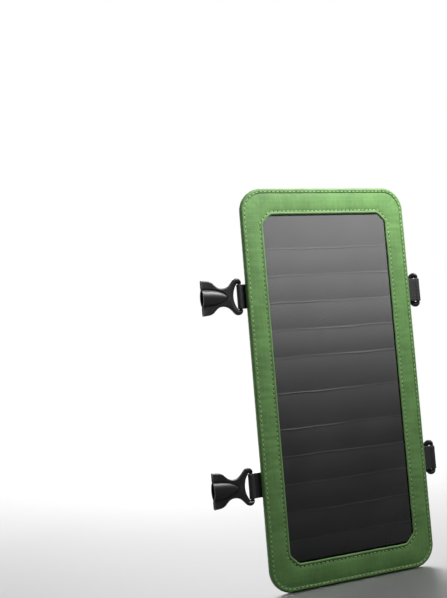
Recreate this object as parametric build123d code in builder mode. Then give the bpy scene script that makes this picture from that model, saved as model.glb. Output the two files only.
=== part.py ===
from build123d import *
from math import cos, radians, sin
import os

# Solar charging panel that buckles onto the front of a backpack. Millimetres.
# The panel stands upright: +X is to the right as seen from the front, +Z is up its long side and
# the sun side faces -Y. The origin is the centre of the back cover's outer face, the side that
# faces the backpack. Heights of the panel's layers are counted from there towards the sun.

# ---------------------------------------------------------------- driving dimensions

panel_width, panel_height = 196, 411
panel_corner = 24.5
window_width, window_height = 148, 356
window_chamfer = 9.5

fabric = 0.5  # ripstop, binding and back cover
board_thickness = 2.0
sheet = 0.4  # film, back sheet and rear encapsulant
cell_thickness = 0.3
foam = 1.0  # padding under the front border
binding_leg = 4.8  # how far the binding laps over the front and the back
binding_round = 2.4
hem = 7  # folded fabric round the window
laminate_margin = 10  # laminate beyond the window, held under the border

# Strips from the top: the ends run on under the border, and two wide ones meet in the middle.
end_margin = 2
narrow_strip, wide_strip = 28.2, 36.2
first_strip, last_strip = 35 + end_margin, 23 + end_margin
strip_heights = [first_strip] + [narrow_strip] * 4 + [wide_strip] * 2 + [narrow_strip] * 4 + [last_strip]
strip_width = window_width + 4
strip_gap = 0.7
link_width = 0.6
ribbon = 3

webbing_width, webbing_thickness = 25, 1.2
tab_overlap = 26  # webbing sewn onto the back
bar_radius = 1.8
bar_clearance = 0.08
bar_behind_panel = 1.7
tabs = ("upper_left", "lower_left", "upper_right", "lower_right")
bar_heights = dict(zip(tabs, (95.5, -95.5, 92.5, -92.5)))
bar_reaches = dict(zip(tabs, (5.2, 9.5, 14.5, 14.5)))  # from the panel's side to the bar
folded_angle = 140  # how far the right-hand sockets are folded behind the panel

socket_length = 41.9  # bar to mouth
mouth_half, shoulder_half, waist_half = 18.0, 18.8, 9.4
plate_half = 2.5  # half the thickness of the socket's wings and shoulders
wing_round = 1.6
slot_half = 13.2  # half the length of the bar between the shoulders
arch_foot, arch_reach = 3.0, 7.6  # bar to the ends and the middle of the arch over the webbing
bevel_outlines = ((0.9, 3.2, 13.8, 7.4), (3.1, 5.5, 16.0, 13.9))  # level, arch foot, half width, arch reach
tongue_half_width, tongue_half_depth = 9.0, 5.2
tongue_sections = (  # reach from the bar, share of the full half width, half depth
    (15.6, 0.3, 2.9),
    (21.5, 0.66, 4.1),
    (31, 0.9, 5.0),
    (socket_length, 1, tongue_half_depth),
)
pocket_sections = ((22.4, 0.6), (31, 0.86), (socket_length, 1))
groove_half_width, groove_length, groove_depth = 10.0, 27.4, 0.6
mouth_wall = 1.3
arm_slot_half, arm_slot_start, arm_slot_wall = 1.25, 23.4, 1.9

box_width, box_height = 64, 40
box_centre = 170
box_wall, box_floor, box_corner = 1.8, 1.6, 5
box_rim, gasket, lid_thickness = 10.2, 0.4, 2.4
flange, flange_thickness = 4, 1.2
boss_x, boss_z, boss_radius = 27, 15, 2.5
standoff_x, standoff_z, standoff_radius = 20, 13.5, 1.8
circuit_board_width, circuit_board_height, circuit_board_thickness = 47, 34, 1.2
board_gap = 1.6  # box floor to circuit board

chip_width, chip_height, chip_depth = 5, 4, 1.5
inductor_width, inductor_corner, inductor_depth = 8, 1.6, 4
capacitor_radius, capacitor_length = 2.5, 5.2
diode_width, diode_height, diode_depth = 4.6, 3.6, 2.2
led_width, led_height, led_depth = 1.6, 0.9, 0.7
body_chamfer = 0.3
lead_hole_radius = 0.5
contact_spacing, contact_width, contact_thickness, contact_length = 2.3, 1.0, 0.2, 9

screw_radius, screw_head_radius, screw_head = 1.0, 1.9, 1.3
screw_length = 8
screw_slot_length, screw_slot_half, screw_slot_depth = 1.6, 0.5, 0.6
usb_width, usb_depth, usb_length, usb_wall = 13.0, 5.7, 14.3, 0.35
usb_clearance = 0.2
tongue_width, tongue_thickness = 11.1, 1.8
pipe_radius = 1.5
pipe_foot, pipe_foot_thickness = 0.7, 0.8  # how far the light pipe's foot stands out, and its thickness
lead_radius, lead_spacing = 0.8, 12
lead_height = 15.5  # above the box's centre
grommet_width, grommet_height = 18, 4.6
clearance = 0.1
screw_hole = screw_radius + 2 * clearance
overlap = 0.8  # how far the bar runs on into the shoulders

# Layer levels, from the back cover's outer face towards the sun
cover_top = fabric
board_top = cover_top + board_thickness
back_sheet_top = board_top + sheet
rear_top = back_sheet_top + sheet
cell_top = rear_top + cell_thickness
encapsulant_top = cell_top + cell_thickness
film_top = encapsulant_top + sheet
padding_top = film_top + foam
border_top = padding_top + fabric
binding_top = border_top + fabric

# Box levels, from the back cover's outer face away from the sun
circuit_bottom = box_floor + board_gap
circuit_top = circuit_bottom + circuit_board_thickness
gasket_top = box_rim + gasket
lid_top = gasket_top + lid_thickness

laminate_width = window_width + 2 * laminate_margin
laminate_height = window_height + 2 * laminate_margin + 6
cell_field_top = window_height / 2 + end_margin
cell_field_bottom = cell_field_top - sum(strip_heights)
inner_width, inner_height = panel_width - 2 * fabric, panel_height - 2 * fabric
inner_corner = panel_corner - fabric

os.makedirs("parts", exist_ok=True)


def front(height):
    """A plane facing the sun, this far in front of the back cover's outer face."""
    return Plane.XZ.offset(height)


def back(height):
    """A plane facing away from the sun, this far behind the back cover, level with the box."""
    return Plane(origin=(0, height, box_centre), x_dir=(-1, 0, 0), z_dir=(0, 1, 0))


def save(piece, name):
    piece.label = name
    export_step(piece, f"parts/{name}.step")


# ---------------------------------------------------------------- fabric and padding

with BuildPart() as binding_inside:
    with BuildSketch(front(0)):
        RectangleRounded(inner_width, inner_height, inner_corner)
    extrude(amount=border_top)
    fillet(binding_inside.faces().filter_by(Axis.Y).edges(), binding_round - fabric)

with BuildPart() as edge_binding:
    with BuildSketch(front(-fabric)):
        RectangleRounded(panel_width, panel_height, panel_corner)
    extrude(amount=binding_top + fabric)
    fillet(edge_binding.faces().filter_by(Axis.Y).edges(), binding_round)
    add(binding_inside.part, mode=Mode.SUBTRACT)
    with BuildSketch(front(-fabric)):
        RectangleRounded(
            panel_width - 2 * binding_leg,
            panel_height - 2 * binding_leg,
            panel_corner - binding_leg,
        )
    extrude(amount=binding_top + fabric, mode=Mode.SUBTRACT)
save(edge_binding.part, "edge_binding")

# Fabric inside the binding stays clear of its rounded inner corners.
tucked = 4
tucked_width, tucked_height = inner_width - tucked, inner_height - tucked
tucked_corner = inner_corner - tucked / 2

with BuildPart() as front_border:
    with BuildSketch(front(padding_top)):
        RectangleRounded(tucked_width, tucked_height, tucked_corner)
    extrude(amount=fabric)
    with BuildSketch(front(film_top)):
        with BuildSketch(mode=Mode.PRIVATE) as hem_outline:
            Rectangle(window_width + 2 * hem, window_height + 2 * hem)
            chamfer(hem_outline.vertices(), window_chamfer + 0.6 * hem)
        add(hem_outline.sketch)
    extrude(amount=foam)
    with BuildSketch(front(film_top)) as window:
        Rectangle(window_width, window_height)
        chamfer(window.vertices(), window_chamfer)
    extrude(amount=foam + fabric, mode=Mode.SUBTRACT)
save(front_border.part, "front_border")

with BuildPart() as front_padding:
    with BuildSketch(front(film_top)) as padding_ring:
        RectangleRounded(tucked_width, tucked_height, tucked_corner)
        add(hem_outline.sketch, mode=Mode.SUBTRACT)
    extrude(amount=foam)
save(front_padding.part, "front_padding")

with BuildPart() as rear_padding:
    with BuildSketch(front(cover_top)):
        RectangleRounded(tucked_width, tucked_height, tucked_corner)
        Rectangle(laminate_width, laminate_height, mode=Mode.SUBTRACT)
    extrude(amount=film_top - cover_top)
save(rear_padding.part, "rear_padding")

with BuildPart() as back_cover:
    with BuildSketch(front(0)):
        RectangleRounded(tucked_width, tucked_height, tucked_corner)
        with Locations((0, box_centre + lead_height)):
            SlotOverall(grommet_width, grommet_height, mode=Mode.SUBTRACT)
    extrude(amount=fabric)
save(back_cover.part, "back_cover")

# ---------------------------------------------------------------- laminate and board

lead_places = [(-lead_spacing / 2, box_centre + lead_height), (lead_spacing / 2, box_centre + lead_height)]

with BuildPart() as stiffener_board:
    with BuildSketch(front(cover_top)):
        Rectangle(laminate_width, laminate_height)
        with Locations((0, box_centre + lead_height)):
            SlotOverall(grommet_width, grommet_height, mode=Mode.SUBTRACT)
    extrude(amount=board_thickness)
save(stiffener_board.part, "stiffener_board")

with BuildPart() as back_sheet:
    with BuildSketch(front(board_top)):
        Rectangle(laminate_width, laminate_height)
        with Locations(*lead_places):
            Circle(lead_radius + clearance, mode=Mode.SUBTRACT)
    extrude(amount=sheet)
save(back_sheet.part, "back_sheet")

with BuildPart() as rear_encapsulant:
    with BuildSketch(front(back_sheet_top)):
        Rectangle(laminate_width, laminate_height)
        with Locations(*lead_places):
            Circle(lead_radius + clearance, mode=Mode.SUBTRACT)
    extrude(amount=sheet)
save(rear_encapsulant.part, "rear_encapsulant")

with BuildPart() as front_encapsulant:
    with BuildSketch(front(rear_top)):
        Rectangle(laminate_width, laminate_height)
    extrude(amount=encapsulant_top - rear_top)
    with BuildSketch(front(rear_top)):
        Rectangle(laminate_width - 2, laminate_height - 2)
    extrude(amount=cell_thickness, mode=Mode.SUBTRACT)
save(front_encapsulant.part, "front_encapsulant")

with BuildPart() as front_film:
    with BuildSketch(front(encapsulant_top)):
        Rectangle(laminate_width, laminate_height)
    extrude(amount=sheet)
save(front_film.part, "front_film")

strip_tops = [cell_field_top - sum(strip_heights[:row]) for row in range(len(strip_heights) + 1)]

for row, height in enumerate(strip_heights):
    with BuildPart() as cell_strip:
        with BuildSketch(front(rear_top)):
            with Locations((0, strip_tops[row] - height / 2)):
                Rectangle(strip_width, height - strip_gap)
        extrude(amount=cell_thickness)
    save(cell_strip.part, f"cell_strip_{row + 1:02d}")

with BuildPart() as cell_links:
    with BuildSketch(front(rear_top)):
        with Locations(*[(0, top) for top in strip_tops[1:-1]]):
            Rectangle(strip_width - 1, link_width)
    extrude(amount=cell_thickness)
save(cell_links.part, "cell_links")

# The positive ribbon lies along the top strip. The negative one lies along the bottom strip, then
# runs up the right-hand margin and back along the top. Both end in a pad over a lead.
pad_bottom, pad_top = cell_field_top + ribbon + 0.5, laminate_height / 2 - 2
lead_pad = ribbon + 1
side_run = strip_width / 2 + ribbon / 2 + 0.8

with BuildPart() as positive_ribbon:
    with BuildSketch(front(rear_top)):
        with Locations((0, cell_field_top + ribbon / 2)):
            Rectangle(strip_width, ribbon)
        with Locations((-lead_spacing / 2, (cell_field_top + pad_top) / 2)):
            Rectangle(lead_pad, pad_top - cell_field_top)
    extrude(amount=cell_thickness)
save(positive_ribbon.part, "positive_ribbon")

with BuildPart() as negative_ribbon:
    with BuildSketch(front(rear_top)):
        with Locations((ribbon / 2, cell_field_bottom - ribbon / 2)):
            Rectangle(strip_width + ribbon, ribbon)
        with Locations((side_run, (cell_field_bottom - ribbon + pad_top) / 2)):
            Rectangle(ribbon, pad_top - cell_field_bottom + ribbon)
        with Locations(((side_run + ribbon / 2 + lead_spacing / 2 - lead_pad / 2) / 2, pad_top - ribbon / 2)):
            Rectangle(side_run + ribbon / 2 - lead_spacing / 2 + lead_pad / 2, ribbon)
        with Locations((lead_spacing / 2, (pad_bottom + pad_top) / 2)):
            Rectangle(lead_pad, pad_top - pad_bottom)
    extrude(amount=cell_thickness)
save(negative_ribbon.part, "negative_ribbon")

# ---------------------------------------------------------------- buckle socket, drawn once

# Drawn in its own frame: x runs from the bar to the mouth, y across it, and z through its thickness.
with BuildPart() as socket_shape:
    with BuildSketch(Plane.XY.offset(-plate_half)):
        with BuildLine():
            ThreePointArc((-bar_radius, slot_half), (-0.75, 17.1), (3.0, shoulder_half))
            Spline(
                (3.0, shoulder_half),
                (8.2, 15.9),
                (12.9, 11.3),
                (18.9, waist_half),
                (24.9, 10.6),
                (29.6, 14.6),
                (35.4, 17.4),
                tangents=((1, 0), (1, 0.2)),
            )
            Line((35.4, 17.4), (socket_length, mouth_half))
            Line((socket_length, mouth_half), (socket_length, 0))
            Line((socket_length, 0), (-bar_radius, 0))
            Line((-bar_radius, 0), (-bar_radius, slot_half))
        make_face()
        mirror(about=Plane.XZ)
    extrude(amount=2 * plate_half)
    plate_edges = socket_shape.faces().filter_by(Axis.Z).edges()
    fillet([edge for edge in plate_edges if edge.center().X < socket_length - 1], wing_round)

    # A shallow groove in each face, and in it the tongue, which swells towards the mouth
    for side in (-1, 1):
        with BuildSketch(Plane.XY.offset(side * plate_half)):
            with Locations((socket_length, 0)):
                Ellipse(groove_length, groove_half_width)
        extrude(amount=-side * groove_depth, mode=Mode.SUBTRACT)
    for reach, share, depth in tongue_sections:
        with BuildSketch(Plane.YZ.offset(reach)):
            Ellipse(tongue_half_width * share, depth)
    loft()

    # Webbing slot between the bar and the arch, with a bevelled arch on both faces
    with BuildSketch(Plane.XY.offset(-plate_half)):
        with BuildLine():
            Polyline((arch_foot, slot_half), (-3, slot_half), (-3, -slot_half), (arch_foot, -slot_half))
            ThreePointArc((arch_foot, -slot_half), (arch_reach, 0), (arch_foot, slot_half))
        make_face()
    extrude(amount=2 * plate_half, mode=Mode.SUBTRACT)
    for side in (-1, 1):
        for level, foot, half, reach in bevel_outlines:
            with BuildSketch(Plane.XY.offset(side * level)):
                with BuildLine():
                    Polyline((foot, half), (-3, half), (-3, -half), (foot, -half))
                    ThreePointArc((foot, -half), (reach, 0), (foot, half))
                make_face()
        loft(mode=Mode.SUBTRACT)

    # Mouth: a deep middle pocket, and a flat slot for the plug's two arms that opens at both flanks
    for reach, share in pocket_sections:
        with BuildSketch(Plane.YZ.offset(reach)):
            Ellipse((tongue_half_width - mouth_wall) * share, (tongue_half_depth - mouth_wall) * share)
    loft(mode=Mode.SUBTRACT)
    with BuildSketch(Plane.YZ.offset(arm_slot_start)):
        Rectangle(2 * (mouth_half - arm_slot_wall), 2 * arm_slot_half)
    extrude(amount=socket_length - arm_slot_start, mode=Mode.SUBTRACT)

    with BuildSketch(Plane.XZ.offset(-slot_half - overlap)):
        Circle(bar_radius)
    extrude(amount=2 * (slot_half + overlap))

# ---------------------------------------------------------------- webbing tabs and sockets

loop_radius = bar_radius + bar_clearance + webbing_thickness

for tab in tabs:
    folded = tab.endswith("right")
    direction = 1 if folded else -1
    bar_x = direction * (panel_width / 2 + bar_reaches[tab])
    bar_z = bar_heights[tab]
    tab_length = bar_reaches[tab] + tab_overlap
    with BuildPart() as webbing_tab:
        with BuildSketch(Plane.XY.offset(bar_z - webbing_width / 2)):
            with Locations((bar_x, bar_behind_panel)):
                Circle(loop_radius)
            with Locations((bar_x - direction * tab_length / 2, bar_behind_panel)):
                Rectangle(tab_length, 2 * webbing_thickness)
            with Locations((bar_x, bar_behind_panel)):
                Circle(bar_radius + bar_clearance, mode=Mode.SUBTRACT)
        extrude(amount=webbing_width)
    save(webbing_tab.part, f"webbing_tab_{tab}")

    turn = radians(folded_angle if folded else 0)
    outward = (direction * cos(turn), sin(turn), 0)
    through = (outward[1], -outward[0], 0)
    with BuildPart(Plane(origin=(bar_x, bar_behind_panel, bar_z), x_dir=outward, z_dir=through)) as socket:
        add(socket_shape.part)
    save(socket.part, f"buckle_socket_{tab}")

# ---------------------------------------------------------------- regulator box on the back

inside_width, inside_height = box_width - 2 * box_wall, box_height - 2 * box_wall
usb_middle = circuit_top + usb_depth / 2
usb_mouth = -box_height / 2

with BuildPart() as box_base:
    with BuildSketch(back(0)):
        RectangleRounded(box_width + 2 * flange, box_height + 2 * flange, box_corner + flange)
    extrude(amount=flange_thickness)
    with BuildSketch(back(0)):
        RectangleRounded(box_width, box_height, box_corner)
    extrude(amount=box_rim)
    with BuildSketch(back(box_floor)):
        RectangleRounded(inside_width, inside_height, box_corner - box_wall)
    extrude(amount=box_rim - box_floor, mode=Mode.SUBTRACT)
    with BuildSketch(back(box_floor)):
        with GridLocations(2 * boss_x, 2 * boss_z, 2, 2):
            Circle(boss_radius)
    extrude(amount=box_rim - box_floor)
    with BuildSketch(back(box_floor)):
        with GridLocations(2 * standoff_x, 2 * standoff_z, 2, 2):
            Circle(standoff_radius)
    extrude(amount=board_gap)
    with BuildSketch(back(lid_top - screw_head - screw_length)):
        with GridLocations(2 * boss_x, 2 * boss_z, 2, 2):
            Circle(screw_radius + clearance)
    extrude(amount=screw_length, mode=Mode.SUBTRACT)
    with BuildSketch(back(0)):
        with Locations((0, lead_height)):
            SlotOverall(grommet_width, grommet_height)
    extrude(amount=box_floor, mode=Mode.SUBTRACT)
    with BuildSketch(Plane.XY.offset(box_centre + usb_mouth - 1)):
        with Locations((0, usb_middle)):
            RectangleRounded(usb_width + 2 * usb_clearance, usb_depth + 2 * usb_clearance, 0.8)
    extrude(amount=box_wall + 2, mode=Mode.SUBTRACT)
save(box_base.part, "box_base")

with BuildPart() as box_gasket:
    with BuildSketch(back(box_rim)):
        RectangleRounded(box_width - 1, box_height - 1, box_corner - 0.5)
        RectangleRounded(inside_width, inside_height, box_corner - box_wall, mode=Mode.SUBTRACT)
    extrude(amount=gasket)
save(box_gasket.part, "box_gasket")

pipe_place = (-18, -11)

with BuildPart() as box_lid:
    with BuildSketch(back(gasket_top)):
        RectangleRounded(box_width, box_height, box_corner)
    extrude(amount=lid_thickness)
    fillet(box_lid.faces().sort_by(Axis.Y)[-1].edges(), 1.0)
    with Locations(back(lid_top)):
        with GridLocations(2 * boss_x, 2 * boss_z, 2, 2):
            CounterBoreHole(screw_hole, screw_head_radius + 2 * clearance, screw_head + clearance)
        with Locations(pipe_place):
            Hole(pipe_radius + clearance)
save(box_lid.part, "box_lid")

with BuildPart() as box_screws:
    with BuildSketch(back(lid_top - screw_head - clearance)):
        with GridLocations(2 * boss_x, 2 * boss_z, 2, 2):
            Circle(screw_head_radius)
    extrude(amount=screw_head)
    with BuildSketch(back(lid_top - clearance)):
        with GridLocations(2 * boss_x, 2 * boss_z, 2, 2):
            SlotCenterToCenter(screw_slot_length, screw_slot_half)
    extrude(amount=-screw_slot_depth, mode=Mode.SUBTRACT)
    with BuildSketch(back(lid_top - screw_head - clearance)):
        with GridLocations(2 * boss_x, 2 * boss_z, 2, 2):
            Circle(screw_radius)
    extrude(amount=-(screw_length - 1))
save(box_screws.part, "box_screws")

with BuildPart() as regulator_board:
    with BuildSketch(back(circuit_bottom)):
        Rectangle(circuit_board_width, circuit_board_height)
        with Locations((0, lead_height)):
            with GridLocations(lead_spacing, 1, 2, 1):
                Circle(lead_hole_radius, mode=Mode.SUBTRACT)
    extrude(amount=circuit_board_thickness)
save(regulator_board.part, "regulator_board")

with BuildPart() as regulator_chip:
    with BuildSketch(back(circuit_top)):
        with Locations((2, 6)):
            Rectangle(chip_width, chip_height)
    extrude(amount=chip_depth)
    chamfer(regulator_chip.faces().sort_by(Axis.Y)[-1].edges(), body_chamfer)
save(regulator_chip.part, "regulator_chip")

with BuildPart() as inductor:
    with BuildSketch(back(circuit_top)):
        with Locations((13, 3)):
            RectangleRounded(inductor_width, inductor_width, inductor_corner)
    extrude(amount=inductor_depth)
    fillet(inductor.faces().sort_by(Axis.Y)[-1].edges(), 2 * body_chamfer)
save(inductor.part, "inductor")

with BuildPart() as capacitors:
    with BuildSketch(back(circuit_top)):
        with Locations((-11, 8), (-17, 8)):
            Circle(capacitor_radius)
    extrude(amount=capacitor_length)
    fillet(capacitors.faces().sort_by(Axis.Y)[-2:].edges(), body_chamfer)
save(capacitors.part, "capacitors")

with BuildPart() as blocking_diode:
    with BuildSketch(back(circuit_top)):
        with Locations((14, 12)):
            Rectangle(diode_width, diode_height)
    extrude(amount=diode_depth)
    chamfer(blocking_diode.faces().sort_by(Axis.Y)[-1].edges(), body_chamfer)
save(blocking_diode.part, "blocking_diode")

with BuildPart() as indicator_led:
    with BuildSketch(back(circuit_top)):
        with Locations(pipe_place):
            Rectangle(led_width, led_height)
    extrude(amount=led_depth)
save(indicator_led.part, "indicator_led")

with BuildPart() as light_pipe:
    with BuildSketch(back(circuit_top + 1)):
        with Locations(pipe_place):
            Circle(pipe_radius)
    extrude(amount=lid_top - circuit_top - 1)
    with BuildSketch(back(gasket_top - pipe_foot_thickness)):
        with Locations(pipe_place):
            Circle(pipe_radius + pipe_foot)
    extrude(amount=pipe_foot_thickness)
save(light_pipe.part, "light_pipe")

usb_bottom = Plane.XY.offset(box_centre + usb_mouth - 0.3)

with BuildPart() as usb_shell:
    with BuildSketch(usb_bottom):
        with Locations((0, usb_middle)):
            RectangleRounded(usb_width, usb_depth, 0.6)
            RectangleRounded(usb_width - 2 * usb_wall, usb_depth - 2 * usb_wall, 0.3, mode=Mode.SUBTRACT)
    extrude(amount=usb_length)
save(usb_shell.part, "usb_shell")

tongue_middle = circuit_top + 2.2

with BuildPart() as usb_tongue:
    with BuildSketch(usb_bottom.offset(1)):
        with Locations((0, tongue_middle)):
            Rectangle(tongue_width, tongue_thickness)
    extrude(amount=usb_length - 3)
    with BuildSketch(usb_bottom.offset(usb_length - 3)):
        with Locations((0, usb_middle)):
            RectangleRounded(usb_width - 2 * usb_wall, usb_depth - 2 * usb_wall, 0.3)
    extrude(amount=2.5)
save(usb_tongue.part, "usb_tongue")

with BuildPart() as usb_contacts:
    with BuildSketch(usb_bottom.offset(1.6)):
        with Locations((0, tongue_middle + tongue_thickness / 2 + 0.1)):
            with GridLocations(contact_spacing, 1, 4, 1):
                Rectangle(contact_width, contact_thickness)
    extrude(amount=contact_length)
save(usb_contacts.part, "usb_contacts")

# Each lead runs from its ribbon, through the laminate, the board and the grommet, to the circuit board.
for name, place in zip(("positive_lead", "negative_lead"), lead_places):
    with BuildPart() as lead:
        with BuildSketch(front(-circuit_bottom)):
            with Locations(place):
                Circle(lead_radius)
        extrude(amount=circuit_bottom + rear_top)
    save(lead.part, name)

with BuildPart() as lead_grommet:
    with BuildSketch(front(-box_floor)):
        with Locations((0, box_centre + lead_height)):
            SlotOverall(grommet_width - clearance, grommet_height - clearance)
        with Locations(*lead_places):
            Circle(lead_radius + clearance / 2, mode=Mode.SUBTRACT)
    extrude(amount=box_floor + board_top)
save(lead_grommet.part, "lead_grommet")
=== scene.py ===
import bpy
import numpy as np
from mathutils import Matrix, Vector


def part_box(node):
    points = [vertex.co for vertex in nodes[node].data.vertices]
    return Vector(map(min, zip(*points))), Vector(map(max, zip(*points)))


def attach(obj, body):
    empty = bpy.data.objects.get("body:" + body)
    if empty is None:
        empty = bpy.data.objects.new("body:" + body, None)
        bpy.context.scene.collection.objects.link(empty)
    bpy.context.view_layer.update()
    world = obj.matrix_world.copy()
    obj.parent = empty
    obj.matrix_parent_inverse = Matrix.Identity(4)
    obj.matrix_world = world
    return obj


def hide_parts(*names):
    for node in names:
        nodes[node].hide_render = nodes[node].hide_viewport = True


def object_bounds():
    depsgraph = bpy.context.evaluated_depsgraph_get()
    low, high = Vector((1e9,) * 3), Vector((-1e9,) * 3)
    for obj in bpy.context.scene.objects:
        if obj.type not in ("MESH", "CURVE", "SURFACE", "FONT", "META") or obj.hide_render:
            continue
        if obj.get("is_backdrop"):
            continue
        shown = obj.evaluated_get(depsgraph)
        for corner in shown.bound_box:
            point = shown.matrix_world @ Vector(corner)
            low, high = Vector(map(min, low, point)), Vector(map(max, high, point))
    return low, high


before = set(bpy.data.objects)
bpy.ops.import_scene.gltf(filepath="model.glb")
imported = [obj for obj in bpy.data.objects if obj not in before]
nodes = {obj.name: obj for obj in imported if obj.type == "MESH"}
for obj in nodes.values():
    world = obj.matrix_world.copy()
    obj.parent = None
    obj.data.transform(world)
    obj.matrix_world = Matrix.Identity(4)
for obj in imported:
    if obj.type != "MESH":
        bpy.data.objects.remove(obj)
cad_low, cad_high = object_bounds()

# Positions are worked out in millimetres: x to the right, z up, and a height towards the sun, which is -y.
MM = 0.001


def limits(node):
    """Lowest and highest corner of a CAD node in millimetres."""
    low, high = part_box(node)
    return np.array(low) / MM, np.array(high) / MM


rim_high = limits("edge_binding")[1]
film_low, film_high = limits("front_film")
half_width, half_height = rim_high[0], rim_high[2]
film_height = -film_low[1]
corner = 24.5  # radius of the panel's corners
window_half = np.array((74.0, 178.0))
window_chamfer = 9.5
rim_inset = 3.0  # where the border goes in under the binding
last_inset = 3.8  # where the back cover goes in under the binding
stitch_pitch = 4.8
rim_stitch = 3.7  # distance of the binding's stitches from the panel's side
window_stitch = 3.5  # distance of the hem's stitches from the window


# ---------------------------------------------------------------- mesh helpers

def mesh_object(name, points, faces, material, uv=None):
    """A mesh from points in millimetres."""
    mesh = bpy.data.meshes.new(name)
    mesh.from_pydata((np.asarray(points) * MM).tolist(), [], faces)
    mesh.materials.append(material)
    mesh.polygons.foreach_set("use_smooth", [True] * len(mesh.polygons))
    if uv is not None:
        layer = mesh.uv_layers.new(name="weave")
        corners = np.zeros(len(mesh.loops), np.int32)
        mesh.loops.foreach_get("vertex_index", corners)
        layer.data.foreach_set("uv", np.asarray(uv, np.float32)[corners].ravel())
    made = bpy.data.objects.new(name, mesh)
    bpy.context.scene.collection.objects.link(made)
    return made


def grid_faces(rows, columns, wrap_columns=False):
    """Quads of a grid whose points run column by column within each row."""
    r = np.arange(rows - 1)[:, None]
    c = np.arange(columns if wrap_columns else columns - 1)[None, :]
    r2, c2 = (r + 1) % rows, (c + 1) % columns
    quads = np.stack([r * columns + c, r * columns + c2, r2 * columns + c2, r2 * columns + c], -1)
    return quads.reshape(-1, 4).tolist()


def outline(vertices, radii, step, arc_points):
    """Points and outward normals round a convex outline with rounded corners, anticlockwise, closed."""
    vertices = np.asarray(vertices, float)
    count = len(vertices)
    points, normals = [], []
    for i in range(count):
        before, here, after = vertices[i - 1], vertices[i], vertices[(i + 1) % count]
        into = (here - before) / np.linalg.norm(here - before)
        out = (after - here) / np.linalg.norm(after - here)
        turn = np.arccos(np.clip(into @ out, -1, 1))
        cut = radii[i] * np.tan(turn / 2)
        centre = here - into * cut + np.array((-into[1], into[0])) * radii[i]
        start = np.arctan2(-into[0], into[1])
        for angle in np.linspace(start, start + turn, arc_points):
            normal = np.array((np.cos(angle), np.sin(angle)))
            points.append(centre + radii[i] * normal)
            normals.append(normal)
        following = vertices[(i + 2) % count]
        bend = np.arccos(np.clip(out @ ((following - after) / np.linalg.norm(following - after)), -1, 1))
        begin = here + out * cut
        end = after - out * radii[(i + 1) % count] * np.tan(bend / 2)
        amount = max(2, round(np.linalg.norm(end - begin) / step))
        normal = np.array((out[1], -out[0]))
        for share in np.arange(1, amount) / amount:
            points.append(begin + (end - begin) * share)
            normals.append(normal)
    return np.array(points), np.array(normals)


def lengths(points):
    """Running length at each point of a closed outline, and its whole length."""
    steps = np.linalg.norm(np.roll(points, -1, 0) - points, axis=1)
    return np.concatenate([[0], np.cumsum(steps)[:-1]]), steps.sum()


def nearest(query, points):
    """Distance from each query point to a closed outline, and the running length there."""
    start, total = lengths(points)
    step = np.roll(points, -1, 0) - points
    size = (step ** 2).sum(1)
    best = np.full(len(query), 1e9)
    place = np.zeros(len(query))
    for i in range(len(points)):
        share = np.clip(((query - points[i]) @ step[i]) / size[i], 0, 1)
        away = np.linalg.norm(query - points[i] - share[:, None] * step[i], axis=1)
        closer = away < best
        best = np.where(closer, away, best)
        place = np.where(closer, start[i] + share * np.sqrt(size[i]), place)
    return best, place


def ripple(along, total, waves, seed):
    """A smooth random wave round a closed outline, about -1 to 1."""
    source = np.random.default_rng(seed)
    value = np.zeros_like(along)
    for wave in waves:
        turns = round(total / wave)
        for k in (-1, 0, 1):
            phase = source.uniform(0, 6.28)
            value += np.sin(2 * np.pi * (turns + k * 3) * along / total + phase) / len(waves) / 3
    return value * 1.6


# ---------------------------------------------------------------- material helpers

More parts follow.
